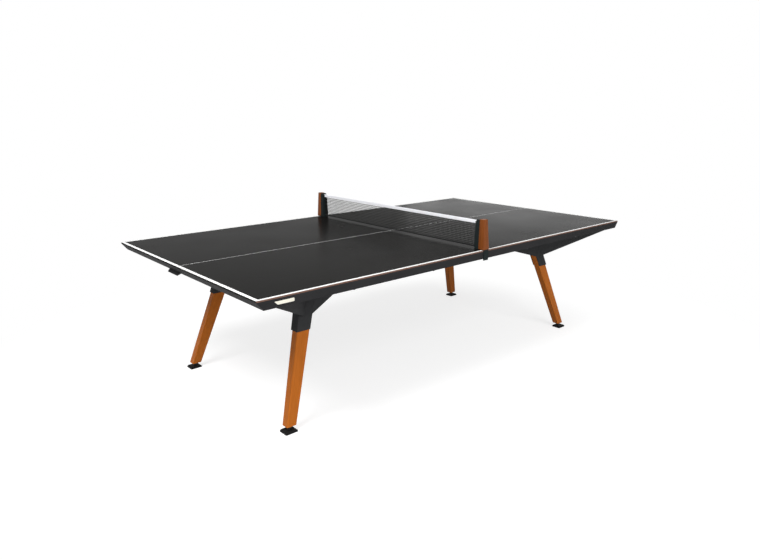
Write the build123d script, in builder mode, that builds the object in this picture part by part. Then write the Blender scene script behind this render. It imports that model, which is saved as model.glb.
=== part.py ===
from build123d import *
import math
import os

# A ping pong table in millimetres. +X runs along its length to the far end, +Y to the left-hand
# long side as seen from the near end, +Z up, with the origin on the floor under its centre.

# Playing surface: two half tops that meet at a seam under the net
table_length = 2740.0
table_width = 1525.0
table_height = 760.0
panel_thickness = 7.0
panel_corner = 4.0
seam_gap = 1.0

# Sheet steel aprons, upright along the sides and leaning in at the ends
sheet = 2.0
apron_depth = 39.0
apron_flange = 25.0
apron_return = 16.0
end_bevel = 30.0

# Welded tube frame of each half
rail_width = 50.0
rail_height = 30.0
rail_wall = 2.0
cross_rail_x = 381.0
outrigger_width = 40.0
outer_outrigger_x = 880.0

# Splayed and tapered legs, placed by their outer corner
leg_bottom = 30.0
leg_end_inset = 237.0
leg_side_inset = 221.0
leg_splay_x = 131.5
leg_splay_y = 82.0
leg_foot_width = 52.0
leg_rim_width = 72.0
leg_thickness = 45.0
leg_edge = 3.0
leg_top_gap = 15.0

# Folded-plate leg brackets: socket, diagonal wing to the table's corner, arm to the middle
rim_height = 459.0
bracket_plate = 4.0
leg_fit = 0.2
wing_rise = 66.0
wing_root_inset = 28.0
wing_corner_inset_x = 85.0
wing_corner_inset_y = 15.5
wing_tip_back = 10.0
arm_rise = 68.0
arm_turn = 17.5
arm_tip_past = 30.0
arm_tip_depth = 20.0
weld_lap = 3.0
flange_width = 40.0
flange_overhang = 45.0
flange_bolt_edge = 27.0
flange_bolt_pitch = 17.0

# Levelling feet on the legs' own axis
insert_radius = 10.0
insert_length = 42.0
insert_fit = 0.1
stem_radius = 7.0
stem_engaged = 40.0
stem_clearance = 0.3
collar_start = 6.0
collar_thickness = 6.0
collar_across_flats = 22.0
neck_radius = 4.5
ball_radius = 7.0
ball_height = 9.5
pad_length = 68.0
pad_width = 62.0
pad_height = 12.0
pad_edge = 5.0
pad_corner = 6.0
pad_taper = 42.0

# Bolts
bolt_radius = 4.0
bolt_head_radius = 7.5
bolt_head_height = 4.5
bolt_head_gap = 2.0
bolt_clearance = 0.5
bolt_grip_past = 10.0
leg_bolt_depth = 34.0
leg_bolt_rises = (45.0, 165.0)
joint_bolt_radius = 5.0
joint_bolt_places = (230.0, 600.0)
nut_across_flats = 17.0
nut_thickness = 8.0
small_bolt_radius = 3.0
small_head_radius = 6.5
small_head_height = 5.0
bush_radius = 6.0
small_nut_across_flats = 10.0
small_nut_thickness = 5.0

# Flared hand pull under each end apron
pull_width = 136.0
pull_offset = 95.0
pull_out = 14.5
pull_drop = 10.6
pull_side_taper = 12.0
pull_bolt_pitch = 90.0

# Net set: hooks over the side aprons, two-part posts, mesh, top tape and bottom hem
hook_width = 35.0
hook_thickness = 6.0
hook_gap = 0.5
hook_flange = 3.0
hook_reach = 8.0
post_height = 161.0
post_foot_width = 43.0
post_top_width = 34.0
block_depth = 40.0
block_edge = 2.0
core_depth = 28.0
core_shorter = 3.0
core_chamfer = 12.0
core_narrower = 2.0
net_height = 155.0
net_thickness = 1.0
net_strand = 2.0
net_columns = 36
net_rows = 5
net_in_slot = 12.0
slot_depth = 14.0
slot_clearance = 0.3
tape_height = 18.0
tape_wall = 1.0
hem_height = 8.0
hem_gap = 8.0
hem_wall = 0.8
net_fit = 0.15
screw_radius = 2.5
screw_head_radius = 4.5
screw_head_height = 2.0
screw_length = 25.0
screw_clearance = 0.2

# Levels and places that follow from the sizes above
half_length = table_length / 2
half_width = table_width / 2
frame_top = table_height - panel_thickness
frame_bottom = frame_top - rail_height
rail_middle = frame_top - rail_height / 2
apron_bottom = frame_top - apron_depth
flange_bottom = frame_bottom - bracket_plate
rail_end_y = half_width - apron_flange
leg_rim_x = half_length - leg_end_inset - leg_splay_x
leg_rim_y = half_width - leg_side_inset - leg_splay_y
leg_drop = rim_height - leg_bottom


def leg_outer_x(z):
    return leg_rim_x + leg_splay_x * (rim_height - z) / leg_drop


def leg_outer_y(z):
    return leg_rim_y + leg_splay_y * (rim_height - z) / leg_drop


def leg_inner_x(z):
    taper = (leg_rim_width - leg_foot_width) / leg_drop
    return leg_outer_x(z) - leg_rim_width + taper * (rim_height - z)


def leg_inner_y(z):
    return leg_outer_y(z) - leg_thickness


def leg_centre(z):
    return Vector((leg_inner_x(z) + leg_outer_x(z)) / 2, (leg_inner_y(z) + leg_outer_y(z)) / 2, z)


rail_y = leg_centre(frame_bottom).Y
end_rail_x = half_length - wing_corner_inset_x - rail_width / 2
quadrants = {"far_left": (1, 1), "far_right": (1, -1), "near_left": (-1, 1), "near_right": (-1, -1)}
ends = {"far": 1, "near": -1}
sides = {"left": 1, "right": -1}


def placed(piece, end, side):
    """The piece of the far left quarter, mirrored to another end (-1) or side (-1)."""
    with BuildPart() as copy:
        add(piece)
        if end < 0:
            mirror(about=Plane.YZ, mode=Mode.REPLACE)
        if side < 0:
            mirror(about=Plane.XZ, mode=Mode.REPLACE)
    return copy.part


def save(piece, name):
    piece.label = name
    export_step(piece, f"parts/{name}.step")


def tube(start, along, length, width=rail_width, height=rail_height):
    """A square-cornered level tube from start along a direction."""
    level_across = Vector(along).cross(Vector(0, 0, 1))
    with BuildPart() as piece:
        with BuildSketch(Plane(origin=start, x_dir=level_across, z_dir=along)):
            Rectangle(width, height)
            Rectangle(width - 2 * rail_wall, height - 2 * rail_wall, mode=Mode.SUBTRACT)
        extrude(amount=length)
    return piece.part


def button_bolt(radius, head_radius, head_height, shank):
    """A domed bolt: its head stands on the XY plane and its shank runs down."""
    with BuildPart() as bolt:
        with BuildSketch(Plane.XZ):
            with BuildLine():
                crown = TangentArc((0, head_height), (head_radius, head_height / 3), tangent=(1, 0))
                Polyline(crown @ 1, (head_radius, 0), (radius, 0), (radius, -shank), (0, -shank), crown @ 0)
            make_face()
        revolve(axis=Axis.Z)
    return bolt.part


def hex_nut(across_flats, thickness, bore):
    """A nut that lies under the XY plane."""
    with BuildPart() as nut:
        with BuildSketch():
            RegularPolygon(across_flats / 2, 6, major_radius=False)
            Circle(bore, mode=Mode.SUBTRACT)
        extrude(amount=-thickness)
    return nut.part


def facing_down(x, y, z):
    return Plane(origin=(x, y, z), z_dir=(0, 0, -1))


os.makedirs("parts", exist_ok=True)

# Half tops: laminate panels with eased outer corners
with BuildPart() as panel:
    with BuildSketch(Plane.XY.offset(frame_top)):
        with Locations((seam_gap / 2, 0)):
            Rectangle(half_length - seam_gap / 2, table_width, align=(Align.MIN, Align.CENTER))
    extrude(amount=panel_thickness)
    fillet(panel.edges().filter_by(Axis.Z).group_by(Axis.X)[-1], radius=panel_corner)
for end_name, end in ends.items():
    save(placed(panel.part, end, 1), f"{end_name}_top_panel")

# End aprons: one folded sheet with a face that leans in, notched where the side aprons come in
bevel_out = Vector(apron_depth, 0, -end_bevel).normalized()
bevel_inside = Plane(origin=Vector(half_length, 0, frame_top) - bevel_out * sheet, z_dir=bevel_out)
end_apron_bottom_x = half_length - end_bevel
pull_bolt_x = end_apron_bottom_x - apron_return / 2
pull_bolt_ys = (-pull_offset - pull_bolt_pitch / 2, -pull_offset + pull_bolt_pitch / 2)
with BuildPart() as notch:
    with Locations((half_length - end_bevel, half_width, frame_top - apron_depth / 2)):
        Box(2 * (end_bevel + apron_flange), 2 * apron_flange, 2 * apron_depth)
    split(bisect_by=bevel_inside, keep=Keep.BOTTOM)
    mirror(about=Plane.XZ)
with BuildPart() as end_apron:
    with BuildSketch(Plane.XZ):
        with BuildLine():
            Polyline(
                (half_length - apron_flange, frame_top),
                (half_length, frame_top),
                (end_apron_bottom_x, apron_bottom),
                (end_apron_bottom_x - apron_return, apron_bottom),
            )
            offset(amount=sheet, side=Side.RIGHT, kind=Kind.INTERSECTION)
        make_face()
    extrude(amount=half_width, both=True)
    add(notch.part, mode=Mode.SUBTRACT)
    with Locations(*[(pull_bolt_x, y, apron_bottom + sheet) for y in pull_bolt_ys]):
        Hole(small_bolt_radius + bolt_clearance, depth=sheet)
save(end_apron.part, "far_end_apron")
save(end_apron.part.rotate(Axis.Z, 180), "near_end_apron")

# Side aprons: a folded channel from the seam to the end apron's inner face
apron_bolt_y = half_width - (apron_return + sheet) / 2
outrigger_places = (cross_rail_x, outer_outrigger_x)
with BuildPart() as side_apron:
    with BuildSketch(Plane.YZ.offset(seam_gap / 2)):
        with BuildLine():
            Polyline(
                (half_width - apron_flange, frame_top),
                (half_width, frame_top),
                (half_width, apron_bottom),
                (half_width - apron_return, apron_bottom),
            )
            offset(amount=sheet, side=Side.RIGHT, kind=Kind.INTERSECTION)
        make_face()
    extrude(amount=half_length)
    split(bisect_by=bevel_inside, keep=Keep.BOTTOM)
    with Locations(*[(x, apron_bolt_y, apron_bottom + sheet) for x in outrigger_places]):
        Hole(small_bolt_radius + bolt_clearance, depth=sheet)
for name, (end, side) in quadrants.items():
    save(placed(side_apron.part, end, side), f"{name}_side_apron")

# Bracket bolts' places: four through the socket's top plate, one at the arm and one at the wing
side_face_gap = leg_fit + bracket_plate
wing_low = rim_height + wing_rise
wing_root = Vector(leg_outer_x(wing_low) - wing_root_inset, leg_outer_y(wing_low) + side_face_gap, 0)
wing_corner = Vector(half_length - wing_corner_inset_x, half_width - wing_corner_inset_y, 0)
wing_run = (wing_corner - wing_root).length
wing_along = (wing_corner - wing_root).normalized()
arm_low = rim_height + arm_rise
arm_along = Vector(-math.cos(math.radians(arm_turn)), -math.sin(math.radians(arm_turn)), 0)


def arm_fold(z):
    """The fold line of the arm: the inner edge of the socket's outer side plate."""
    return Vector(leg_inner_x(z), leg_outer_y(z) + leg_fit + bracket_plate / 2, z)


def arm_point(x, z):
    """A point of the folded arm's middle plane at a given x and height."""
    return arm_fold(z) + arm_along * ((x - arm_fold(z).X) / arm_along.X)


top_plate_x = (leg_inner_x(flange_bottom) - flange_overhang, leg_outer_x(flange_bottom) + flange_overhang)
wing_bolt = wing_root + wing_along * ((end_rail_x - wing_root.X) / wing_along.X)
arm_bolt = arm_point(cross_rail_x, flange_bottom)
long_rail_bolts = [
    (x, rail_y + dy)
    for x in (top_plate_x[0] + flange_bolt_edge, top_plate_x[1] - flange_bolt_edge)
    for dy in (-flange_bolt_pitch / 2, flange_bolt_pitch / 2)
]
bolt_side_step = bracket_plate / 2 + bolt_head_radius + bolt_head_gap
wing_across = Vector(-wing_along.Y, wing_along.X, 0)
arm_across = Vector(-arm_along.Y, arm_along.X, 0)
end_rail_bolt = wing_bolt + wing_across * bolt_side_step
cross_rail_bolt = arm_bolt + arm_across * bolt_side_step
bracket_bolts = long_rail_bolts + [(end_rail_bolt.X, end_rail_bolt.Y), (cross_rail_bolt.X, cross_rail_bolt.Y)]
bolt_hole = bolt_radius + bolt_clearance
hole_top = frame_bottom + rail_wall

# Joint rails: the two halves are bolted together through them at the seam
joint_bolt_ys = [side * y for y in joint_bolt_places for side in (-1, 1)]
with BuildPart() as joint_rail:
    add(tube((rail_width / 2, -rail_end_y, rail_middle), (0, 1, 0), 2 * rail_end_y))
    with Locations(*[Plane(origin=(rail_width, y, rail_middle), z_dir=(1, 0, 0)) for y in joint_bolt_ys]):
        Hole(joint_bolt_radius + bolt_clearance, depth=rail_width)
for end_name, end in ends.items():
    save(placed(joint_rail.part, end, 1), f"{end_name}_joint_rail")

# End rails: across the table above the tips of the corner wings
with BuildPart() as end_rail:
    add(tube((end_rail_x, -rail_end_y, rail_middle), (0, 1, 0), 2 * rail_end_y))
    with Locations(*[(end_rail_bolt.X, side * end_rail_bolt.Y, hole_top) for side in (1, -1)]):
        Hole(bolt_hole, depth=rail_wall)
for end_name, end in ends.items():
    save(placed(end_rail.part, end, 1), f"{end_name}_end_rail")

# Long rails: from the joint rail to the end rail, over the legs
long_rail_length = end_rail_x - 3 * rail_width / 2
with BuildPart() as long_rail:
    add(tube((rail_width, rail_y, rail_middle), (1, 0, 0), long_rail_length))
    with Locations(*[(x, y, hole_top) for x, y in long_rail_bolts]):
        Hole(bolt_hole, depth=rail_wall)
for name, (end, side) in quadrants.items():
    save(placed(long_rail.part, end, side), f"{name}_long_rail")

# Cross rails: between the long rails, above the tips of the bracket arms
cross_rail_half = rail_y - rail_width / 2
with BuildPart() as cross_rail:
    add(tube((cross_rail_x, -cross_rail_half, rail_middle), (0, 1, 0), 2 * cross_rail_half))
    with Locations(*[(cross_rail_bolt.X, side * cross_rail_bolt.Y, hole_top) for side in (1, -1)]):
        Hole(bolt_hole, depth=rail_wall)
for end_name, end in ends.items():
    save(placed(cross_rail.part, end, 1), f"{end_name}_cross_rail")

# Outriggers: low tubes from a long rail into the side apron's channel
outrigger_height = rail_height - sheet
outrigger_start = rail_y + rail_width / 2
outrigger_length = half_width - sheet - outrigger_start
with BuildPart() as outriggers:
    for x in outrigger_places:
        start = (x, outrigger_start, frame_bottom + outrigger_height / 2)
        add(tube(start, (0, 1, 0), outrigger_length, outrigger_width, outrigger_height))
    with Locations(*[(x, apron_bolt_y, hole_top) for x in outrigger_places]):
        Hole(small_bolt_radius + bolt_clearance, depth=rail_wall)
for name, (end, side) in quadrants.items():
    save(placed(outriggers.part, end, side), f"{name}_outriggers")


def leg_section(z, end=0.0, inner=0.0, sides=0.0):
    """The leg's level cross-section, with its outer end, inner end and sides moved out."""
    x_low, x_high = leg_inner_x(z) - inner, leg_outer_x(z) + end
    y_low, y_high = leg_inner_y(z) - sides, leg_outer_y(z) + sides
    with BuildSketch(Plane.XY.offset(z)) as section:
        with Locations(((x_low + x_high) / 2, (y_low + y_high) / 2)):
            Rectangle(x_high - x_low, y_high - y_low)
    return section.sketch


# Leg bolts come in square to the socket's inner side plate
inner_plate_out = Vector(0, -1, -leg_splay_y / leg_drop).normalized()
leg_bolt_planes = []
for rise in leg_bolt_rises:
    z = rim_height + rise
    place = Vector(leg_centre(z).X, leg_inner_y(z) - side_face_gap, z)
    leg_bolt_planes.append(Plane(origin=place, x_dir=(1, 0, 0), z_dir=inner_plate_out))

# Leg brackets: a U socket lofted round the leg, a top plate, a corner wing and a folded arm
wing_plane = Plane(origin=wing_root, x_dir=wing_along, z_dir=wing_along.cross(Vector(0, 0, 1)))
arm_rising = arm_fold(flange_bottom) - arm_fold(arm_low)
arm_plane = Plane(origin=arm_fold(arm_low), x_dir=arm_along, z_dir=arm_along.cross(arm_rising))
arm_tip_x = cross_rail_x - arm_tip_past
wing_tip = wing_run - wing_tip_back
wing_root_top = (leg_outer_y(flange_bottom) - leg_outer_y(wing_low)) / wing_along.Y
arm_flange_start = arm_fold(flange_bottom)
arm_flange_run = (arm_point(arm_tip_x, flange_bottom) - arm_flange_start).length
with BuildPart() as bracket:
    socket_levels = (rim_height, flange_bottom)
    loft([leg_section(z, side_face_gap, 0, side_face_gap) for z in socket_levels])
    loft([leg_section(z, leg_fit, leg_rim_width, leg_fit) for z in socket_levels], mode=Mode.SUBTRACT)
    with BuildSketch(Plane.XY.offset(flange_bottom)):
        with Locations(((top_plate_x[0] + top_plate_x[1]) / 2, leg_centre(flange_bottom).Y)):
            Rectangle(top_plate_x[1] - top_plate_x[0], leg_thickness + 2 * side_face_gap)
    extrude(amount=bracket_plate)
    with BuildSketch(wing_plane):
        with BuildLine():
            Polyline(
                (-weld_lap, wing_low),
                (wing_tip, wing_low + (apron_bottom - wing_low) * wing_tip / wing_run),
                (wing_tip, flange_bottom),
                (wing_root_top - weld_lap, flange_bottom),
                close=True,
            )
        make_face()
    extrude(amount=bracket_plate / 2, both=True)
    with BuildSketch(Plane(origin=wing_root + Vector(0, 0, flange_bottom), x_dir=wing_along)):
        with Locations((wing_root_top, 0)):
            Rectangle(wing_tip - wing_root_top, flange_width, align=(Align.MIN, Align.CENTER))
    extrude(amount=bracket_plate)
    with BuildSketch(arm_plane):
        with BuildLine():
            corners = [
                arm_fold(arm_low) - arm_along * weld_lap,
                arm_point(arm_tip_x, flange_bottom - arm_tip_depth),
                arm_point(arm_tip_x, flange_bottom),
                arm_fold(flange_bottom) - arm_along * weld_lap,
            ]
            Polyline(*[arm_plane.to_local_coords(corner) for corner in corners], close=True)
        make_face()
    extrude(amount=bracket_plate / 2, both=True)
    with BuildSketch(Plane(origin=arm_flange_start, x_dir=arm_along)):
        Rectangle(arm_flange_run, flange_width, align=(Align.MIN, Align.CENTER))
    extrude(amount=bracket_plate)
    with Locations(*[(x, y, frame_bottom) for x, y in bracket_bolts]):
        Hole(bolt_hole, depth=bracket_plate)
    with Locations(*leg_bolt_planes):
        Hole(bolt_hole, depth=2 * bracket_plate)
for name, (end, side) in quadrants.items():
    save(placed(bracket.part, end, side), f"{name}_leg_bracket")

# Wooden legs: four-sided tapers, cut level at the bottom and bored for the foot
leg_top = flange_bottom - leg_top_gap
foot_start = leg_centre(leg_bottom)
foot_down = (foot_start - leg_centre(rim_height)).normalized()
foot_plane = Plane(origin=foot_start, x_dir=(0, 1, 0), z_dir=foot_down)
with BuildPart() as leg:
    loft([leg_section(leg_bottom), leg_section(leg_top)])
    fillet(leg.edges().sort_by(SortBy.LENGTH)[-4:], radius=leg_edge)
    with Locations(foot_plane.offset(insert_radius)):
        Hole(insert_radius + insert_fit, depth=insert_length + insert_radius)
    with Locations(*leg_bolt_planes):
        Hole(bolt_radius + bolt_clearance, depth=side_face_gap + leg_bolt_depth + bolt_clearance)
for name, (end, side) in quadrants.items():
    save(placed(leg.part, end, side), f"{name}_leg")

# Foot inserts: threaded sleeves in the legs, cut level with the wood
with BuildPart() as insert:
    with BuildSketch(foot_plane.offset(-insert_length)):
        Circle(insert_radius)
        Circle(stem_radius + stem_clearance, mode=Mode.SUBTRACT)
    extrude(amount=insert_length + insert_radius)
    split(bisect_by=Plane.XY.offset(leg_bottom), keep=Keep.TOP)
with BuildPart() as inserts:
    for end, side in quadrants.values():
        add(placed(insert.part, end, side))
save(inserts.part, "foot_inserts")

# Foot stems: thread, hexagonal collar, neck and ball in one piece
ball_reach = (leg_bottom - ball_height) / -foot_down.Z
ball_centre = foot_start + foot_down * ball_reach
with BuildPart() as stem:
    with BuildSketch(foot_plane.offset(-stem_engaged)):
        Circle(stem_radius)
    extrude(amount=stem_engaged + collar_start)
    chamfer(stem.faces().sort_by(Axis.Z)[-1].edges(), length=stem_clearance * 4)
    with BuildSketch(foot_plane.offset(collar_start)):
        RegularPolygon(collar_across_flats / 2, 6, major_radius=False)
    extrude(amount=collar_thickness)
    with BuildSketch(foot_plane.offset(collar_start + collar_thickness)):
        Circle(neck_radius)
    extrude(amount=ball_reach - collar_start - collar_thickness)
    with Locations(ball_centre):
        Sphere(ball_radius)
for name, (end, side) in quadrants.items():
    save(placed(stem.part, end, side), f"{name}_foot_stem")

# Foot pads: flat moulded pads with a sloping shoulder and a socket for the ball
with BuildPart() as pad:
    with BuildSketch():
        with Locations((ball_centre.X, ball_centre.Y)):
            RectangleRounded(pad_length, pad_width, pad_corner)
    extrude(amount=pad_edge)
    extrude(pad.faces().sort_by(Axis.Z)[-1], amount=pad_height - pad_edge, taper=pad_taper)
    with Locations(ball_centre):
        Sphere(ball_radius + stem_clearance, mode=Mode.SUBTRACT)
for name, (end, side) in quadrants.items():
    save(placed(pad.part, end, side), f"{name}_foot_pad")

# Leg bolts: from the socket's inner side plate into the wood
leg_bolt = button_bolt(bolt_radius, bolt_head_radius, bolt_head_height, side_face_gap + leg_bolt_depth)
with BuildPart() as leg_bolt_pair:
    with Locations(*leg_bolt_planes):
        add(leg_bolt)
with BuildPart() as leg_bolts:
    for end, side in quadrants.values():
        add(placed(leg_bolt_pair.part, end, side))
save(leg_bolts.part, "leg_bolts")

# Bracket bolts: up through the bracket's flanges into the rails
frame_bolt_shank = bracket_plate + rail_wall + bolt_grip_past
frame_bolt = button_bolt(bolt_radius, bolt_head_radius, bolt_head_height, frame_bolt_shank)
with BuildPart() as bracket_bolt_set:
    with Locations(*[facing_down(x, y, flange_bottom) for x, y in bracket_bolts]):
        add(frame_bolt)
with BuildPart() as frame_bolts:
    for end, side in quadrants.values():
        add(placed(bracket_bolt_set.part, end, side))
save(frame_bolts.part, "bracket_bolts")

# Joint bolts and nuts: through both joint rails at the seam
joint_shank = 2 * rail_width + nut_thickness + bolt_clearance
joint_bolt = button_bolt(joint_bolt_radius, bolt_head_radius, bolt_head_height, joint_shank)
joint_nut = hex_nut(nut_across_flats, nut_thickness, joint_bolt_radius + insert_fit)
with BuildPart() as joint_bolts:
    with Locations(*[Plane(origin=(rail_width, y, rail_middle), z_dir=(1, 0, 0)) for y in joint_bolt_ys]):
        add(joint_bolt)
    with Locations(*[Plane(origin=(-rail_width, y, rail_middle), z_dir=(1, 0, 0)) for y in joint_bolt_ys]):
        add(joint_nut)
save(joint_bolts.part, "joint_bolts")

# Apron fixings: domed bolts up through the side aprons, with a bush up to each outrigger
bush_height = frame_bottom - apron_bottom - sheet
apron_shank = sheet + bush_height + rail_wall + bolt_grip_past
apron_bolt = button_bolt(small_bolt_radius, small_head_radius, small_head_height, apron_shank)
with BuildPart() as bush:
    Cylinder(bush_radius, bush_height, align=(Align.CENTER, Align.CENTER, Align.MAX))
    Hole(small_bolt_radius + bolt_clearance)
with BuildPart() as apron_fixing_pair:
    with Locations(*[facing_down(x, apron_bolt_y, apron_bottom) for x in outrigger_places]):
        add(apron_bolt)
    with Locations(*[facing_down(x, apron_bolt_y, apron_bottom + sheet) for x in outrigger_places]):
        add(bush.part)
with BuildPart() as apron_fixings:
    for end, side in quadrants.values():
        add(placed(apron_fixing_pair.part, end, side))
save(apron_fixings.part, "apron_fixings")

# Hand pulls: a bent tab under each end apron whose lip flares out and down
pull_lip_x = end_apron_bottom_x + pull_out
with BuildPart() as pull:
    with BuildSketch(Plane.XZ):
        with BuildLine():
            Polyline(
                (end_apron_bottom_x - apron_return, apron_bottom),
                (end_apron_bottom_x, apron_bottom),
                (pull_lip_x, apron_bottom - pull_drop),
            )
            offset(amount=sheet, side=Side.RIGHT, kind=Kind.INTERSECTION)
        make_face()
    extrude(amount=half_width, both=True)
    with BuildSketch(Plane.XY.offset(apron_bottom)):
        with BuildLine():
            Polyline(
                (end_apron_bottom_x - apron_return, pull_width / 2 - pull_offset),
                (end_apron_bottom_x, pull_width / 2 - pull_offset),
                (pull_lip_x, pull_width / 2 - pull_side_taper - pull_offset),
                (pull_lip_x, -pull_width / 2 + pull_side_taper - pull_offset),
                (end_apron_bottom_x, -pull_width / 2 - pull_offset),
                (end_apron_bottom_x - apron_return, -pull_width / 2 - pull_offset),
                close=True,
            )
        make_face()
    extrude(amount=pull_drop + 2 * sheet, both=True, mode=Mode.INTERSECT)
    with Locations(*[(pull_bolt_x, y, apron_bottom) for y in pull_bolt_ys]):
        Hole(small_bolt_radius + bolt_clearance, depth=sheet)
save(pull.part, "far_hand_pull")
save(pull.part.rotate(Axis.Z, 180), "near_hand_pull")

# Pull bolts and nuts: clamp the pulls to the end aprons' lower flange
pull_bolt_shank = 2 * sheet + small_nut_thickness + bolt_clearance
pull_bolt = button_bolt(small_bolt_radius, small_head_radius, small_head_height, pull_bolt_shank)
pull_nut = hex_nut(small_nut_across_flats, small_nut_thickness, small_bolt_radius + insert_fit)
with BuildPart() as pull_bolt_pair:
    with Locations(*[facing_down(pull_bolt_x, y, apron_bottom - sheet) for y in pull_bolt_ys]):
        add(pull_bolt)
    with Locations(*[facing_down(pull_bolt_x, y, apron_bottom + sheet) for y in pull_bolt_ys]):
        add(pull_nut)
with BuildPart() as pull_bolts:
    add(pull_bolt_pair.part)
    add(pull_bolt_pair.part.rotate(Axis.Z, 180))
save(pull_bolts.part, "pull_bolts")

# Net hooks: a flange under each post and a tongue that hangs down outside the apron
hook_inside = half_width + hook_gap
post_outside = hook_inside + hook_thickness
core_inside = post_outside - block_depth - core_depth
post_bottom = table_height + hook_flange
screw_ys = (post_outside - block_depth / 2, core_inside + slot_depth + (core_depth - slot_depth) / 2)
with BuildPart() as hook:
    with BuildSketch(Plane.YZ):
        with BuildLine():
            Polyline(
                (core_inside, table_height),
                (hook_inside, table_height),
                (hook_inside, apron_bottom - hook_reach),
                (post_outside, apron_bottom - hook_reach),
                (post_outside, post_bottom),
                (core_inside, post_bottom),
                close=True,
            )
        make_face()
    extrude(amount=hook_width / 2, both=True)
    with Locations(*[facing_down(0, y, table_height) for y in screw_ys]):
        CounterSinkHole(
            screw_radius + screw_clearance, screw_head_radius + screw_clearance, depth=hook_flange
        )
for side_name, side in sides.items():
    save(placed(hook.part, 1, side), f"{side_name}_net_hook")


def post_section(z, width, inside, depth):
    with BuildSketch(Plane.XY.offset(z)) as section:
        with Locations((0, inside + depth / 2)):
            Rectangle(width, depth)
    return section.sketch


# Post blocks: tapered wooden blocks on the outer side of each post
block_inside = post_outside - block_depth
with BuildPart() as block:
    loft([
        post_section(post_bottom, post_foot_width, block_inside, block_depth),
        post_section(post_bottom + post_height, post_top_width, block_inside, block_depth),
    ])
    fillet(block.edges().sort_by(SortBy.LENGTH)[-4:], radius=block_edge)
    chamfer(block.faces().sort_by(Axis.Z)[-1].edges(), length=block_edge / 2)
    with Locations(facing_down(0, screw_ys[0], post_bottom)):
        Hole(screw_radius + screw_clearance, depth=screw_length)
for side_name, side in sides.items():
    save(placed(block.part, 1, side), f"{side_name}_post_block")

# Post cores: black metal blocks on the inner side, sloped at the top and slotted for the net
tape_thickness = net_thickness + 2 * (net_fit + tape_wall)
core_height = post_height - core_shorter
with BuildPart() as core:
    loft([
        post_section(post_bottom, post_foot_width - core_narrower, core_inside, core_depth),
        post_section(post_bottom + core_height, post_top_width - core_narrower, core_inside, core_depth),
    ])
    chamfer(core.edges().filter_by(Axis.X).group_by(Axis.Z)[-1].sort_by(Axis.Y)[0], length=core_chamfer)
    with BuildSketch(Plane.XY.offset(post_bottom)):
        with Locations((0, core_inside)):
            Rectangle(tape_thickness + 2 * slot_clearance, slot_depth, align=(Align.CENTER, Align.MIN))
    extrude(amount=core_height, mode=Mode.SUBTRACT)
    with Locations(facing_down(0, screw_ys[1], post_bottom)):
        Hole(screw_radius + screw_clearance, depth=screw_length)
for side_name, side in sides.items():
    save(placed(core.part, 1, side), f"{side_name}_post_core")

# Post screws: countersunk, up through the hook's flange into the block and the core
with BuildPart() as post_screw:
    with BuildSketch(Plane.XZ):
        with BuildLine():
            Polyline(
                (0, 0),
                (screw_head_radius, 0),
                (screw_radius, -screw_head_height),
                (screw_radius, -screw_length),
                (0, -screw_length),
                close=True,
            )
        make_face()
    revolve(axis=Axis.Z)
with BuildPart() as screw_pair:
    with Locations(*[facing_down(0, y, table_height) for y in screw_ys]):
        add(post_screw.part)
with BuildPart() as post_screws:
    for side in sides.values():
        add(placed(screw_pair.part, 1, side))
save(post_screws.part, "post_screws")

# Net mesh: one flat sheet with a grid of gaps between the hem and the tape
net_half = core_inside + net_in_slot
net_top = table_height + net_height
hem_bottom = table_height + hem_gap
mesh_bottom = hem_bottom + hem_wall + net_fit
mesh_top = net_top - tape_wall - net_fit
gaps_bottom = hem_bottom + hem_height
gaps_top = net_top - tape_height
column_pitch = (2 * core_inside - net_strand) / net_columns
row_pitch = (gaps_top - gaps_bottom - net_strand) / net_rows
with BuildSketch() as outline:
    with Locations((0, (mesh_bottom + mesh_top) / 2)):
        Rectangle(2 * net_half, mesh_top - mesh_bottom)
with BuildSketch() as gaps:
    with Locations((0, (gaps_bottom + gaps_top) / 2)):
        with GridLocations(column_pitch, row_pitch, net_columns, net_rows):
            Rectangle(column_pitch - net_strand, row_pitch - net_strand)
with BuildPart() as mesh:
    with BuildSketch(Plane.YZ.offset(-net_thickness / 2)):
        add(outline.face().make_holes([gap.outer_wire() for gap in gaps.faces()]))
    extrude(amount=net_thickness)
save(mesh.part, "net_mesh")


def folded_band(low, high, thickness, wall, fold_low):
    """A band folded over an edge of the net: its fold is at its low or its high edge."""
    gap_low = low + wall if fold_low else low
    gap_high = high if fold_low else high - wall
    with BuildPart() as band:
        with BuildSketch(Plane.XZ):
            with Locations((0, (low + high) / 2)):
                Rectangle(thickness, high - low)
            with Locations((0, (gap_low + gap_high) / 2)):
                Rectangle(thickness - 2 * wall, gap_high - gap_low, mode=Mode.SUBTRACT)
        extrude(amount=net_half, both=True)
    return band.part


# Top tape and bottom hem: woven bands folded over the net's two long edges
save(folded_band(gaps_top, net_top, tape_thickness, tape_wall, False), "net_tape")
hem_thickness = net_thickness + 2 * (net_fit + hem_wall)
save(folded_band(hem_bottom, gaps_bottom, hem_thickness, hem_wall, True), "net_hem")
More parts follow.
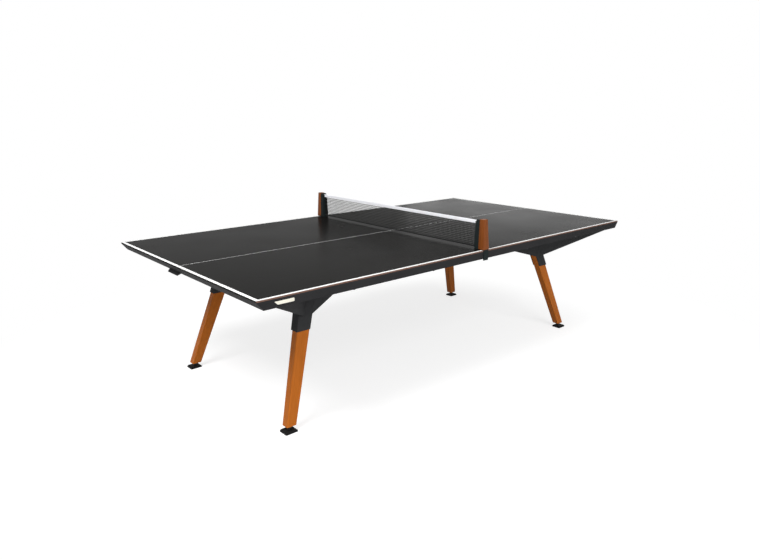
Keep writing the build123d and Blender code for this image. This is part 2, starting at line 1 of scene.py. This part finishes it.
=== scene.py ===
import bpy
import math
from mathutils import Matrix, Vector


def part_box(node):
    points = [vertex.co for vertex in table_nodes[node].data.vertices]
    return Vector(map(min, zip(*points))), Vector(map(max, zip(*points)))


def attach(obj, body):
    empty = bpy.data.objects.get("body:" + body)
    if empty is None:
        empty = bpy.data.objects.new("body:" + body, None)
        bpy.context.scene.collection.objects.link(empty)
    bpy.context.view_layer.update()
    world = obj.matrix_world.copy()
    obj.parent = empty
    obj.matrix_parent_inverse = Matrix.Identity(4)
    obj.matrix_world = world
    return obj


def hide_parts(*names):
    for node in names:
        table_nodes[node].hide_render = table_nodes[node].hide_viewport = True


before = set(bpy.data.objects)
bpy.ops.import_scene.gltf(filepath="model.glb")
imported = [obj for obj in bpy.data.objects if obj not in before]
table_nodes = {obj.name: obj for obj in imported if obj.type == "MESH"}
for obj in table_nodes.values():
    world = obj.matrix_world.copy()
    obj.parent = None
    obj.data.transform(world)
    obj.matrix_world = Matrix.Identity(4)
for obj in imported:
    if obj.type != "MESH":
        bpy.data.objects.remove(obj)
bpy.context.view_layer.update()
bpy.ops.object.select_all(action="DESELECT")


# Tube frame and leg brackets: welded 50 by 30 mm tube and 4 mm folded plate under the top,
# powder coated black. The brackets hang from the rails on button head bolts.
def linear(hex_colour):
    """An sRGB hex value as linear colour."""
    parts = [int(hex_colour[i:i + 2], 16) / 255 for i in (1, 3, 5)]
    return [c / 12.92 if c <= 0.04045 else ((c + 0.055) / 1.055) ** 2.4 for c in parts] + [1.0]


def put(tree, kind, feeds=None, **settings):
    """Adds one node with its settings, and feeds its inputs from sockets or plain values.

    Inputs 1 to 4 of a Map Range are its old and new limits, 6 and 7 of a Mix its two colours.
    """
    made = tree.nodes.new(kind)
    for name, value in settings.items():
        setattr(made, name, value)
    for socket, value in (feeds or {}).items():
        if isinstance(value, bpy.types.NodeSocket):
            tree.links.new(value, made.inputs[socket])
        else:
            made.inputs[socket].default_value = value
    return made


def new_material(name):
    """A material with an empty node tree."""
    made = bpy.data.materials.new(name)
    made.use_nodes = True
    made.node_tree.nodes.clear()
    return made, made.node_tree


def dress(names, finish):
    """Gives table pieces from the frame their finish."""
    for name in names:
        mesh = table_nodes[name].data
        mesh.materials.clear()
        mesh.materials.append(finish)


# Polyester powder coat is a fused skin: satin, with a fine orange-peel ripple and a little
# mottling. Its real ripple of 1.5 mm is drawn at 4 mm so that it shows from a step away.
def powder_coat(name, dark, light, roughness):
    peel_size, cloud_size, spread = 0.004, 0.18, 0.05
    coat, tree = new_material(name)
    place = put(tree, "ShaderNodeTexCoord")
    peel = put(tree, "ShaderNodeTexNoise",
               {"Vector": place.outputs["Object"], "Scale": 1 / peel_size, "Detail": 2.0})
    cloud = put(tree, "ShaderNodeTexNoise",
                {"Vector": place.outputs["Object"], "Scale": 1 / cloud_size, "Detail": 3.0})
    tone = put(tree, "ShaderNodeMix", {0: cloud.outputs["Fac"], 6: linear(dark), 7: linear(light)},
               data_type="RGBA")
    gloss = put(tree, "ShaderNodeMapRange",
                {0: cloud.outputs["Fac"], 1: 0.3, 2: 0.7, 3: roughness - spread, 4: roughness + spread})
    ripple = put(tree, "ShaderNodeBump",
                 {"Height": peel.outputs["Fac"], "Strength": 0.12, "Distance": 0.0006})
    skin = put(tree, "ShaderNodeBsdfPrincipled",
               {"Base Color": tone.outputs[2], "Roughness": gloss.outputs[0],
                "Normal": ripple.outputs[0], "IOR": 1.07})
    put(tree, "ShaderNodeOutputMaterial", {"Surface": skin.outputs[0]})
    return coat


frame_coat = powder_coat("powder_coat_frame_black", "#1c1c1e", "#232325", 0.55)
dress([n for n in table_nodes if n.endswith(("_rail", "_outriggers"))], frame_coat)
bracket_coat = powder_coat("powder_coat_bracket_black", "#303031", "#393a3b", 0.5)
dress([n for n in table_nodes if n.endswith("_leg_bracket")], bracket_coat)


# Bolts: black oxide steel for the button heads that show, zinc plate for the screws, bolts
# and inserts that stay inside. Fine wear mottles their gloss.
def turned_steel(name, colour, metallic, roughness):
    wear_size, spread = 0.003, 0.08
    steel, tree = new_material(name)
    place = put(tree, "ShaderNodeTexCoord")
    wear = put(tree, "ShaderNodeTexNoise",
               {"Vector": place.outputs["Object"], "Scale": 1 / wear_size, "Detail": 3.0})
    gloss = put(tree, "ShaderNodeMapRange",
                {0: wear.outputs["Fac"], 1: 0.3, 2: 0.7, 3: roughness - spread, 4: roughness + spread})
    skin = put(tree, "ShaderNodeBsdfPrincipled",
               {"Base Color": linear(colour), "Metallic": metallic, "Roughness": gloss.outputs[0]})
    put(tree, "ShaderNodeOutputMaterial", {"Surface": skin.outputs[0]})
    return steel


dress(["leg_bolts", "bracket_bolts", "apron_fixings", "pull_bolts"],
      turned_steel("black_oxide_steel", "#1a1a1b", 0.6, 0.4))
dress(["joint_bolts", "post_screws", "foot_inserts"],
      turned_steel("zinc_plated_steel", "#b9bbbd", 1.0, 0.35))


# Legs: solid hardwood, sawn with the grain along the leg, planed to a taper, eased on the long
# edges and oiled to an orange brown. Each slides up into its bracket's socket.
def oiled_wood(name, along, early, late, pore):
    """Straight-grained wood with its fibres along a direction."""
    band_width, band_length, pore_width, pore_length = 0.006, 0.25, 0.0016, 0.04
    wood, tree = new_material(name)
    turn = Vector(along).to_track_quat("Z", "Y").inverted().to_euler()
    place = put(tree, "ShaderNodeTexCoord")
    fibres = put(tree, "ShaderNodeMapping", {"Vector": place.outputs["Object"], "Rotation": turn})
    bands_in = put(tree, "ShaderNodeVectorMath",
                   {0: fibres.outputs[0], 1: (1 / band_width, 1 / band_width, 1 / band_length)},
                   operation="MULTIPLY")
    bands = put(tree, "ShaderNodeTexNoise",
                {"Vector": bands_in.outputs[0], "Scale": 1.0, "Detail": 3.0, "Distortion": 0.4})
    pores_in = put(tree, "ShaderNodeVectorMath",
                   {0: fibres.outputs[0], 1: (1 / pore_width, 1 / pore_width, 1 / pore_length)},
                   operation="MULTIPLY")
    pores = put(tree, "ShaderNodeTexNoise",
                {"Vector": pores_in.outputs[0], "Scale": 1.0, "Detail": 1.0})
    figure = put(tree, "ShaderNodeMapRange",
                 {0: bands.outputs["Fac"], 1: 0.32, 2: 0.68, 3: 0.0, 4: 1.0})
    tone = put(tree, "ShaderNodeMix", {0: figure.outputs[0], 6: linear(late), 7: linear(early)},
               data_type="RGBA")
    pits = put(tree, "ShaderNodeMapRange",
               {0: pores.outputs["Fac"], 1: 0.6, 2: 0.75, 3: 0.0, 4: 0.45})
    colour = put(tree, "ShaderNodeMix", {0: pits.outputs[0], 6: tone.outputs[2], 7: linear(pore)},
                 data_type="RGBA")
    gloss = put(tree, "ShaderNodeMapRange",
                {0: bands.outputs["Fac"], 1: 0.3, 2: 0.7, 3: 0.5, 4: 0.38})
    fibre = put(tree, "ShaderNodeBump",
                {"Height": pores.outputs["Fac"], "Strength": 0.15, "Distance": 0.0005})
    skin = put(tree, "ShaderNodeBsdfPrincipled",
               {"Base Color": colour.outputs[2], "Roughness": gloss.outputs[0],
                "Normal": fibre.outputs[0], "IOR": 1.2})
    put(tree, "ShaderNodeOutputMaterial", {"Surface": skin.outputs[0]})
    return wood


leg_lean = (0.1415, 0.082, -0.429)
for corner, (end, side) in {"far_left": (1, 1), "far_right": (1, -1), "near_left": (-1, 1),
                            "near_right": (-1, -1)}.items():
    along = (leg_lean[0] * end, leg_lean[1] * side, leg_lean[2])
    dress([f"{corner}_leg"],
          oiled_wood(f"oiled_hardwood_{corner}_leg", along, "#ad601c", "#a25714", "#7c3f0b"))

# Levelling feet: a black zinc stem screwed up into each leg, with a ball end in a moulded
# rubber pad. The pad has a soft matt skin with a fine moulded grain.
dress([n for n in table_nodes if n.endswith("_foot_stem")],
      turned_steel("black_zinc_stem", "#1c1c1d", 0.7, 0.45))
grain_size, dust_size = 0.0012, 0.02
rubber, tree = new_material("moulded_rubber_pad")
place = put(tree, "ShaderNodeTexCoord")
grain = put(tree, "ShaderNodeTexNoise",
            {"Vector": place.outputs["Object"], "Scale": 1 / grain_size, "Detail": 2.0})
dust = put(tree, "ShaderNodeTexNoise",
           {"Vector": place.outputs["Object"], "Scale": 1 / dust_size, "Detail": 3.0})
tone = put(tree, "ShaderNodeMix", {0: dust.outputs["Fac"], 6: linear("#0c0c0c"), 7: linear("#161616")},
           data_type="RGBA")
pebble = put(tree, "ShaderNodeBump",
             {"Height": grain.outputs["Fac"], "Strength": 0.3, "Distance": 0.0003})
skin = put(tree, "ShaderNodeBsdfPrincipled",
           {"Base Color": tone.outputs[2], "Roughness": 0.7, "Normal": pebble.outputs[0], "IOR": 1.2})
put(tree, "ShaderNodeOutputMaterial", {"Surface": skin.outputs[0]})
dress([n for n in table_nodes if n.endswith("_foot_pad")], rubber)

# Half tops: 7 mm compact laminate, pressed from resin-soaked paper, with a matt charcoal face,
# printed white lines and a brown core that shows along the sawn long edges.
end_line_width, side_line_width, centre_line_width = 0.017, 0.015, 0.0025
half_length, half_width = 1.370, 0.7625
speckle_size, cloud_size, facing_limit = 0.002, 0.35, 0.5
laminate, tree = new_material("compact_laminate_top")
place = put(tree, "ShaderNodeTexCoord")
spot = put(tree, "ShaderNodeSeparateXYZ", {0: place.outputs["Object"]})
facing = put(tree, "ShaderNodeSeparateXYZ", {0: place.outputs["Normal"]})
out_x = put(tree, "ShaderNodeMath", {0: spot.outputs[0]}, operation="ABSOLUTE")
out_y = put(tree, "ShaderNodeMath", {0: spot.outputs[1]}, operation="ABSOLUTE")
end_line = put(tree, "ShaderNodeMath", {0: out_x.outputs[0], 1: half_length - end_line_width},
               operation="GREATER_THAN")
side_line = put(tree, "ShaderNodeMath", {0: out_y.outputs[0], 1: half_width - side_line_width},
                operation="GREATER_THAN")
centre_line = put(tree, "ShaderNodeMath", {0: out_y.outputs[0], 1: centre_line_width / 2},
                  operation="LESS_THAN")
border = put(tree, "ShaderNodeMath", {0: end_line.outputs[0], 1: side_line.outputs[0]},
             operation="MAXIMUM")
lines = put(tree, "ShaderNodeMath", {0: border.outputs[0], 1: centre_line.outputs[0]},
            operation="MAXIMUM")
speckle = put(tree, "ShaderNodeTexNoise",
              {"Vector": place.outputs["Object"], "Scale": 1 / speckle_size, "Detail": 3.0})
cloud = put(tree, "ShaderNodeTexNoise",
            {"Vector": place.outputs["Object"], "Scale": 1 / cloud_size, "Detail": 4.0})
face = put(tree, "ShaderNodeMix", {0: cloud.outputs["Fac"], 6: linear("#161615"), 7: linear("#1c1b1a")},
           data_type="RGBA")
lined = put(tree, "ShaderNodeMix", {0: lines.outputs[0], 6: face.outputs[2], 7: linear("#f0f0ef")},
            data_type="RGBA")
sawn = put(tree, "ShaderNodeMix", {0: speckle.outputs["Fac"], 6: linear("#664c42"), 7: linear("#765b50")},
           data_type="RGBA")
lean = put(tree, "ShaderNodeMath", {0: facing.outputs[1]}, operation="ABSOLUTE")
long_edge = put(tree, "ShaderNodeMath", {0: lean.outputs[0], 1: facing_limit}, operation="GREATER_THAN")
plain = put(tree, "ShaderNodeMix", {0: long_edge.outputs[0], 6: face.outputs[2], 7: sawn.outputs[2]},
            data_type="RGBA")
on_top = put(tree, "ShaderNodeMath", {0: facing.outputs[2], 1: facing_limit}, operation="GREATER_THAN")
colour = put(tree, "ShaderNodeMix", {0: on_top.outputs[0], 6: plain.outputs[2], 7: lined.outputs[2]},
             data_type="RGBA")
gloss = put(tree, "ShaderNodeMapRange", {0: cloud.outputs["Fac"], 1: 0.3, 2: 0.7, 3: 0.2, 4: 0.28})
texture = put(tree, "ShaderNodeBump",
              {"Height": speckle.outputs["Fac"], "Strength": 0.05, "Distance": 0.0004})
skin = put(tree, "ShaderNodeBsdfPrincipled",
           {"Base Color": colour.outputs[2], "Roughness": gloss.outputs[0],
            "Normal": texture.outputs[0], "IOR": 1.036})
put(tree, "ShaderNodeOutputMaterial", {"Surface": skin.outputs[0]})
dress(["near_top_panel", "far_top_panel"], laminate)

# Aprons and hand pulls: 2 mm steel sheet folded into channels along the sides and leaning in at
# the ends, powder coated charcoal. The pulls are bent tabs bolted under the end aprons.
apron_coat = powder_coat("powder_coat_apron_charcoal", "#272728", "#2f2f30", 0.5)
dress([n for n in table_nodes if n.endswith(("_apron", "_hand_pull"))], apron_coat)


# Blank plate: a thin cream plate with a slanted end, stuck to the near right side apron.
# It is enamelled steel, with rounded corners and eased edges.
def box_between(name, low, high):
    """A box from its low corner to its high one, with its origin at the frame's."""
    bpy.ops.mesh.primitive_cube_add(size=1, location=[(a + b) / 2 for a, b in zip(low, high)])
    made = bpy.context.object
    made.name = name
    made.scale = [b - a for a, b in zip(low, high)]
    bpy.ops.object.transform_apply(location=True, rotation=True, scale=True)
    return made


def ease_edges(piece, width, segments):
    """Rounds every edge of a box and smooths the rounding."""
    eased = piece.modifiers.new("eased_edges", "BEVEL")
    eased.width = width
    eased.segments = segments
    bpy.ops.object.modifier_apply(modifier="eased_edges")
    bpy.ops.object.shade_smooth_by_angle(angle=math.radians(40))


plate_low_x, plate_high_x, plate_slant = -1.2904, -1.1956, 0.0158
plate_low_z, plate_high_z, plate_thickness = 0.7262, 0.7410, 0.0012
plate_corner, plate_edge, enamel_cloud = 0.0035, 0.0003, 0.012
plate = box_between("blank_plate", (plate_low_x, -half_width - plate_thickness, plate_low_z),
                    (plate_high_x, -half_width, plate_high_z))
for corner in plate.data.vertices:
    near_end = corner.co.x < (plate_low_x + plate_high_x) / 2
    if near_end and corner.co.z < (plate_low_z + plate_high_z) / 2:
        corner.co.x += plate_slant
bpy.ops.object.mode_set(mode="EDIT")
bpy.ops.mesh.select_mode(type="EDGE")
bpy.ops.mesh.select_all(action="DESELECT")
bpy.ops.object.mode_set(mode="OBJECT")
for edge in plate.data.edges:
    ends = [plate.data.vertices[i].co for i in edge.vertices]
    edge.select = abs(ends[0].y - ends[1].y) > plate_thickness / 2
bpy.ops.object.mode_set(mode="EDIT")
bpy.ops.mesh.bevel(offset=plate_corner, segments=5)
bpy.ops.object.mode_set(mode="OBJECT")
ease_edges(plate, plate_edge, 2)
enamel, tree = new_material("cream_enamel_plate")
place = put(tree, "ShaderNodeTexCoord")
cloud = put(tree, "ShaderNodeTexNoise",
            {"Vector": place.outputs["Object"], "Scale": 1 / enamel_cloud, "Detail": 2.0})
tone = put(tree, "ShaderNodeMix", {0: cloud.outputs["Fac"], 6: linear("#d9d5c6"), 7: linear("#e8e5d8")},
           data_type="RGBA")
skin = put(tree, "ShaderNodeBsdfPrincipled", {"Base Color": tone.outputs[2], "Roughness": 0.35})
put(tree, "ShaderNodeOutputMaterial", {"Surface": skin.outputs[0]})
plate.data.materials.append(enamel)
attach(plate, "table")
bpy.ops.object.select_all(action="DESELECT")

# Net posts: a hardwood block and a black metal core side by side on a steel hook that hangs
# over the edge of the top. The block is planed to a taper, its outer face leaning in, with the
# grain upright, and screws through the hook hold it from below.
post_wood = oiled_wood("oiled_hardwood_post", (0, 0, 1), "#7d441c", "#673616", "#3f200b")
block_top_width, block_lean, block_edge = 0.030, 0.009, 0.002
for side_name, outward in (("left", 1), ("right", -1)):
    low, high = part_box(f"{side_name}_post_block")
    middle = [(a + b) / 2 for a, b in zip(low, high)]
    block = box_between(f"{side_name}_tapered_block", low, high)
    for corner in block.data.vertices:
        if corner.co.z > middle[2]:
            corner.co.x *= block_top_width / (high[0] - low[0])
            if (corner.co.y - middle[1]) * outward > 0:
                corner.co.y -= block_lean * outward
    ease_edges(block, block_edge, 3)
    block.data.materials.append(post_wood)
    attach(block, "net_set")
    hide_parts(f"{side_name}_post_block")
    bpy.ops.object.select_all(action="DESELECT")
core_coat = powder_coat("powder_coat_post_black", "#1d2323", "#252b2b", 0.45)
dress(["left_post_core", "right_post_core", "left_net_hook", "right_net_hook"], core_coat)

# Net mesh: black polyester cord, 10 mm from cord to cord, knotted by machine at every crossing
# and stretched between the posts. The tape and the hem press its outer rows thin.
net_half, mesh_low, mesh_high = 0.7125, 0.7695, 0.9135
cord_pitch, cord_width = 0.010, 0.0029
columns, rows = round(2 * net_half / cord_pitch), round((mesh_high - mesh_low) / cord_pitch)
cords_wide, cords_high = 2 * net_half - cord_width, mesh_high - mesh_low - cord_width
bpy.ops.mesh.primitive_grid_add(x_subdivisions=columns, y_subdivisions=rows, size=1,
                                location=(0, 0, (mesh_low + mesh_high) / 2),
                                rotation=(math.pi / 2, 0, math.pi / 2))
net = bpy.context.object
net.name = "net_cords"
net.scale = (cords_wide, cords_high, 1)
bpy.ops.object.transform_apply(location=True, rotation=True, scale=True)
cords = net.modifiers.new("cords", "WIREFRAME")
cords.thickness = cord_width
cords.use_even_offset = True
cords.use_boundary = True
bpy.ops.object.modifier_apply(modifier="cords")
bpy.ops.object.select_all(action="DESELECT")
knot_size, knot_flat = 0.0026, 0.75
bpy.ops.mesh.primitive_ico_sphere_add(subdivisions=1, radius=knot_size,
                                      location=(0, -net_half + cord_width / 2, mesh_low + cord_width / 2))
knots = bpy.context.object
knots.name = "net_knots"
knots.scale = (knot_flat, 1, 1)
bpy.ops.object.transform_apply(location=True, rotation=True, scale=True)
for name, count, step in (("along", columns + 1, (0, cords_wide / columns, 0)),
                          ("up", rows + 1, (0, 0, cords_high / rows))):
    repeat = knots.modifiers.new(name, "ARRAY")
    repeat.count = count
    repeat.use_relative_offset = False
    repeat.use_constant_offset = True
    repeat.constant_offset_displace = step
    bpy.ops.object.modifier_apply(modifier=name)
net.select_set(True)
bpy.context.view_layer.objects.active = net
bpy.ops.object.join()
held_low, held_high, pressed_share = 0.776, 0.897, 0.2
for point in net.data.vertices:
    if not held_low < point.co.z < held_high:
        point.co.x *= pressed_share
strand_size = 0.0015
cord_black, tree = new_material("knotted_polyester_cord")
place = put(tree, "ShaderNodeTexCoord")
twist = put(tree, "ShaderNodeTexNoise",
            {"Vector": place.outputs["Object"], "Scale": 1 / strand_size, "Detail": 2.0})
tone = put(tree, "ShaderNodeMix", {0: twist.outputs["Fac"], 6: linear("#161615"), 7: linear("#232321")},
           data_type="RGBA")
strand = put(tree, "ShaderNodeBump",
             {"Height": twist.outputs["Fac"], "Strength": 0.4, "Distance": 0.0004})
skin = put(tree, "ShaderNodeBsdfPrincipled",
           {"Base Color": tone.outputs[2], "Roughness": 0.8, "Normal": strand.outputs[0], "IOR": 1.12})
put(tree, "ShaderNodeOutputMaterial", {"Surface": skin.outputs[0]})
net.data.materials.append(cord_black)
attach(net, "net_set")
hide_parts("net_mesh")
bpy.ops.object.select_all(action="DESELECT")


# Top tape and bottom hem: woven polyester tape folded over the net's edges and sewn along its
# free edges. The tape is white, the hem black.
def folded_tape(name, low, high, thickness, fold_up):
    """A strip folded lengthwise into a narrow U, its fold at the top or at the bottom."""
    around, along_count, cloth_thickness = 16, 80, 0.001
    bpy.ops.mesh.primitive_grid_add(x_subdivisions=around, y_subdivisions=along_count, size=2)
    strip = bpy.context.object
    strip.name = name
    reach = (thickness - cloth_thickness) / 2
    leg = high - low - reach - cloth_thickness / 2
    total = 2 * leg + math.pi * reach
    for point in strip.data.vertices:
        run = (point.co.x + 1) / 2 * total
        if run < leg:
            x, rise = -reach, run
        elif run > total - leg:
            x, rise = reach, total - run
        else:
            angle = (run - leg) / reach
            x, rise = -reach * math.cos(angle), leg + reach * math.sin(angle)
        z = low + rise if fold_up else high - rise
        point.co = (x, point.co.y * net_half, z)
    bpy.ops.object.mode_set(mode="EDIT")
    bpy.ops.mesh.select_all(action="SELECT")
    bpy.ops.mesh.normals_make_consistent(inside=False)
    bpy.ops.object.mode_set(mode="OBJECT")
    cloth = strip.modifiers.new("cloth", "SOLIDIFY")
    cloth.thickness = cloth_thickness
    cloth.offset = 0
    bpy.ops.object.modifier_apply(modifier="cloth")
    bpy.ops.object.shade_smooth_by_angle(angle=math.radians(50))
    bpy.ops.object.select_all(action="DESELECT")
    return strip, total


# Plain weave of 0.8 mm threads, drawn at 2 mm so that it shows, with a soft sheen. One row of
# 3 mm lock stitches, drawn at 5 mm, holds the free edges together.
def woven_tape(name, dark, light, thread_colour, stitch_height):
    thread_size, stitch_length, stitch_half_width, stitch_gap = 0.002, 0.005, 0.0006, -0.4
    weave, tree = new_material(name)
    place = put(tree, "ShaderNodeTexCoord")
    spot = put(tree, "ShaderNodeSeparateXYZ", {0: place.outputs["Object"]})
    warp = put(tree, "ShaderNodeMath", {0: spot.outputs[1], 1: 2 * math.pi / thread_size},
               operation="MULTIPLY")
    weft = put(tree, "ShaderNodeMath", {0: spot.outputs[2], 1: 2 * math.pi / thread_size},
               operation="MULTIPLY")
    over = put(tree, "ShaderNodeMath", {0: warp.outputs[0]}, operation="SINE")
    under = put(tree, "ShaderNodeMath", {0: weft.outputs[0]}, operation="SINE")
    crossing = put(tree, "ShaderNodeMath", {0: over.outputs[0], 1: under.outputs[0]},
                   operation="MULTIPLY")
    level = put(tree, "ShaderNodeMapRange", {0: crossing.outputs[0], 1: -1.0, 2: 1.0, 3: 0.0, 4: 1.0})
    tone = put(tree, "ShaderNodeMix", {0: level.outputs[0], 6: linear(dark), 7: linear(light)},
               data_type="RGBA")
    row = put(tree, "ShaderNodeMath", {0: spot.outputs[2], 1: stitch_height, 2: stitch_half_width},
              operation="COMPARE")
    pace = put(tree, "ShaderNodeMath", {0: spot.outputs[1], 1: 2 * math.pi / stitch_length},
               operation="MULTIPLY")
    beat = put(tree, "ShaderNodeMath", {0: pace.outputs[0]}, operation="SINE")
    dash = put(tree, "ShaderNodeMath", {0: beat.outputs[0], 1: stitch_gap}, operation="GREATER_THAN")
    sewn = put(tree, "ShaderNodeMath", {0: row.outputs[0], 1: dash.outputs[0]}, operation="MULTIPLY")
    stitched = put(tree, "ShaderNodeMix",
                   {0: sewn.outputs[0], 6: tone.outputs[2], 7: linear(thread_colour)}, data_type="RGBA")
    relief = put(tree, "ShaderNodeMath", {0: level.outputs[0], 1: sewn.outputs[0]}, operation="ADD")
    thread = put(tree, "ShaderNodeBump",
                 {"Height": relief.outputs[0], "Strength": 0.3, "Distance": 0.0003})
    skin = put(tree, "ShaderNodeBsdfPrincipled",
               {"Base Color": stitched.outputs[2], "Roughness": 0.75, "Normal": thread.outputs[0],
                "IOR": 1.2, "Sheen Weight": 0.05})
    put(tree, "ShaderNodeOutputMaterial", {"Surface": skin.outputs[0]})
    return weave


tape_low, tape_high, tape_thickness, tape_stitches = 0.8970, 0.9150, 0.0033, 0.9002
tape, tape_cut = folded_tape("net_top_tape", tape_low, tape_high, tape_thickness, True)
tape.data.materials.append(woven_tape("woven_white_tape", "#eeeff4", "#fbfbfe", "#c9cad0", tape_stitches))
hem_low, hem_high, hem_thickness, hem_stitches = 0.7680, 0.7760, 0.0029, 0.7742
hem, hem_cut = folded_tape("net_bottom_hem", hem_low, hem_high, hem_thickness, False)
hem.data.materials.append(woven_tape("woven_black_hem", "#161616", "#242424", "#3a3a3a", hem_stitches))
for strip, node, finish, cut in ((tape, "net_tape", "tape_cloth", tape_cut),
                                 (hem, "net_hem", "hem_cloth", hem_cut)):
    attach(strip, "net_set")
    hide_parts(node)


# Studio: a white floor that keeps a soft shadow, and the camera of the photograph. The key light
# stands on the long side nearest the camera, the fill light hangs high beyond the near end, and a
# low strip behind the far end shines along the top.
def seen_rays(tree):
    """1 for camera, glossy and transmission rays, which see the white background."""
    rays = put(tree, "ShaderNodeLightPath")
    seen = put(tree, "ShaderNodeMath",
               {0: rays.outputs["Is Camera Ray"], 1: rays.outputs["Is Glossy Ray"]}, operation="MAXIMUM")
    seen_too = put(tree, "ShaderNodeMath",
                   {0: seen.outputs[0], 1: rays.outputs["Is Transmission Ray"]}, operation="MAXIMUM")
    return seen_too.outputs[0]


# Near the table the floor is half lit paper, which takes the shadow, and half glow, made stronger
# there so that the paper's open parts stay white. Further out it is all glow.
floor_size, fade_start, fade_end, near_share, near_glow = 60, 1.2, 2.6, 0.50, 1.47
bpy.ops.mesh.primitive_plane_add(size=floor_size)
floor = bpy.context.object
floor.name = "studio_floor"
paper, tree = new_material("white_paper_floor")
place = put(tree, "ShaderNodeTexCoord")
away = put(tree, "ShaderNodeVectorMath", {0: place.outputs["Object"]}, operation="LENGTH")
fade = put(tree, "ShaderNodeMapRange",
           {0: away.outputs["Value"], 1: fade_start, 2: fade_end, 3: near_share, 4: 1.0},
           interpolation_type="SMOOTHSTEP")
glow = put(tree, "ShaderNodeMapRange",
           {0: away.outputs["Value"], 1: fade_start, 2: fade_end, 3: near_glow, 4: 1.0},
           interpolation_type="SMOOTHSTEP")
matt = put(tree, "ShaderNodeBsdfDiffuse", {"Color": linear("#f4f4f4")})
bright = put(tree, "ShaderNodeEmission", {"Color": linear("#ffffff"), "Strength": glow.outputs[0]})
share = put(tree, "ShaderNodeMath", {0: seen_rays(tree), 1: fade.outputs[0]}, operation="MULTIPLY")
mixed = put(tree, "ShaderNodeMixShader", {0: share.outputs[0], 1: matt.outputs[0], 2: bright.outputs[0]})
side = put(tree, "ShaderNodeNewGeometry")
clear = put(tree, "ShaderNodeBsdfTransparent")
one_way = put(tree, "ShaderNodeMixShader",
              {0: side.outputs["Backfacing"], 1: mixed.outputs[0], 2: clear.outputs[0]})
put(tree, "ShaderNodeOutputMaterial", {"Surface": one_way.outputs[0]})
floor.data.materials.append(paper)

room_light = 0.30
world = bpy.data.worlds.new("studio")
bpy.context.scene.world = world
world.use_nodes = True
tree = world.node_tree
tree.nodes.clear()
wall = put(tree, "ShaderNodeMapRange", {0: seen_rays(tree), 3: room_light, 4: 1.0})
sky = put(tree, "ShaderNodeBackground", {"Color": linear("#ffffff"), "Strength": wall.outputs[0]})
put(tree, "ShaderNodeOutputWorld", {"Surface": sky.outputs[0]})

lamp_aim = Vector((0, 0, 0.5))
for name, place, wide, tall, power in (("key_light", (-0.4, -4.8, 2.6), 3.0, 3.0, 145.0),
                                       ("fill_light", (-3.3, -0.9, 4.2), 2.0, 2.0, 200.0),
                                       ("back_strip", (6.0, 3.9, 1.45), 3.5, 0.8, 17.0)):
    lamp = bpy.data.lights.new(name, "AREA")
    lamp.shape = "RECTANGLE"
    lamp.size, lamp.size_y = wide, tall
    lamp.energy = power
    holder = bpy.data.objects.new(name, lamp)
    bpy.context.collection.objects.link(holder)
    holder.location = place
    holder.visible_camera = False
    holder.rotation_euler = (lamp_aim - Vector(place)).to_track_quat("-Z", "Y").to_euler()

# The camera's focal length and the middle of its view are in the photograph's pixels.
picture_width, picture_height, sensor_width = 760, 560, 36.0
focal_length, centre_x, centre_y = 618.63, 402.783, 284.772
azimuth, elevation = math.radians(-42.18), math.radians(15.788)
back = Vector((math.sin(azimuth) * math.cos(elevation), -math.cos(azimuth) * math.cos(elevation),
               math.sin(elevation)))
lens = bpy.data.cameras.new("photo_camera")
lens.sensor_width = sensor_width
lens.lens = sensor_width * focal_length / picture_width
lens.shift_x = -(centre_x - picture_width / 2) / picture_width
lens.shift_y = (centre_y - picture_height / 2) / picture_width
camera = bpy.data.objects.new("photo_camera", lens)
bpy.context.collection.objects.link(camera)
camera.location = (-2.496042, -2.860194, 1.481137)
camera.rotation_euler = (-back).to_track_quat("-Z", "Y").to_euler()
bpy.context.scene.camera = camera
bpy.context.scene.view_settings.view_transform = "Standard"
